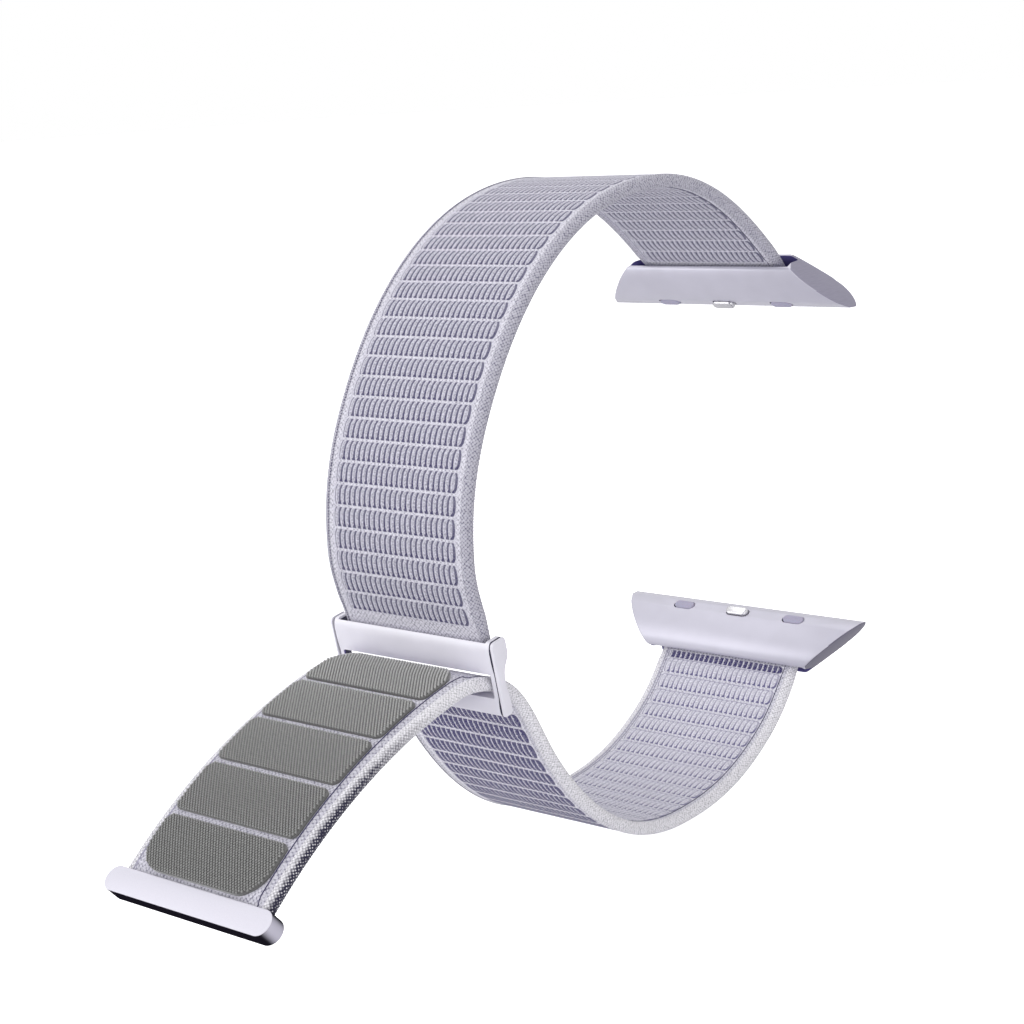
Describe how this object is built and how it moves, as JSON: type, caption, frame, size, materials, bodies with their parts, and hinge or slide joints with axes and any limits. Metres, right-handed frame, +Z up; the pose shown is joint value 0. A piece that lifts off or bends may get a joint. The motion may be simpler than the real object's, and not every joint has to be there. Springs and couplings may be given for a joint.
{
  "type": "watch strap",
  "caption": "Woven loop strap for a wrist watch: sliding rail lugs with sprung latches, a turning ring, and a fold-back tail with hook pads and an end bar.",
  "frame": {"origin": "middle of the upper rail's flat end face, which bears on the watch case", "axes": "+X across the webbing, +Y from the wrist towards the watch, +Z up from the lower rail to the upper rail"},
  "size_m": [0.0358, 0.0991, 0.0764],
  "materials": {
    "lug_resin": "satin pale lavender",
    "ring_resin": "satin pale lavender",
    "woven_nylon": "loop-faced weave, pale lavender over indigo",
    "hook_nylon": "fine grey hook field",
    "bar_alloy": "satin anodised lavender",
    "pin_steel": "plain",
    "grip_silicone": "matte"
  },
  "bodies": {
    "upper_lug": {"upper_lug_body": "lug_resin", "upper_lug_pin": "pin_steel", "upper_lug_latch_spring": "pin_steel", "upper_lug_pad_left": "grip_silicone", "upper_lug_pad_right": "grip_silicone"},
    "upper_latch": {"upper_lug_latch": "pin_steel"},
    "upper_band": {"upper_band": "woven_nylon"},
    "ring": {"ring_frame": "ring_resin", "ring_pin": "pin_steel"},
    "lower_band": {"lower_band": "woven_nylon"},
    "tail": {"tail_band": "woven_nylon", "hook_pad_1": "hook_nylon", "hook_pad_2": "hook_nylon", "hook_pad_3": "hook_nylon", "hook_pad_4": "hook_nylon", "hook_pad_5": "hook_nylon", "end_bar": "bar_alloy"},
    "lower_lug": {"lower_lug_body": "lug_resin", "lower_lug_pin": "pin_steel", "lower_lug_latch_spring": "pin_steel", "lower_lug_pad_left": "grip_silicone", "lower_lug_pad_right": "grip_silicone"},
    "lower_latch": {"lower_lug_latch": "pin_steel"}
  },
  "joints": [
    {"name": "upper_band_pivot", "type": "hinge", "parent": "upper_lug", "child": "upper_band", "pos_m": [0, -0.00229, 0.00452], "axis": [1, 0, 0], "range_deg": [-12, 8]},
    {"name": "ring_pivot", "type": "hinge", "parent": "upper_band", "child": "ring", "pos_m": [0, -0.0611, -0.0285], "axis": [1, 0, 0], "range_deg": [-12, 25]},
    {"name": "window_pivot", "type": "hinge", "parent": "ring", "child": "lower_band", "pos_m": [0, -0.06133, -0.03237], "axis": [1, 0, 0], "range_deg": [-2, 18]},
    {"name": "tail_fold", "type": "hinge", "parent": "lower_band", "child": "tail", "pos_m": [0, -0.0635, -0.03199], "axis": [-1, 0, 0], "range_deg": [-20, 60]},
    {"name": "lower_lug_pivot", "type": "hinge", "parent": "lower_band", "child": "lower_lug", "pos_m": [0, -0.00229, -0.04412], "axis": [1, 0, 0], "range_deg": [-4, 14]},
    {"name": "upper_latch_slide", "type": "slide", "parent": "upper_lug", "child": "upper_latch", "axis": [0, 0.682, 0.7314], "range_m": [0, 0.0005], "stiffness_N_per_m": 150, "springref_m": -0.001},
    {"name": "lower_latch_slide", "type": "slide", "parent": "lower_lug", "child": "lower_latch", "axis": [0, 0.682, -0.7314], "range_m": [0, 0.0005], "stiffness_N_per_m": 150, "springref_m": -0.001}
  ]
}
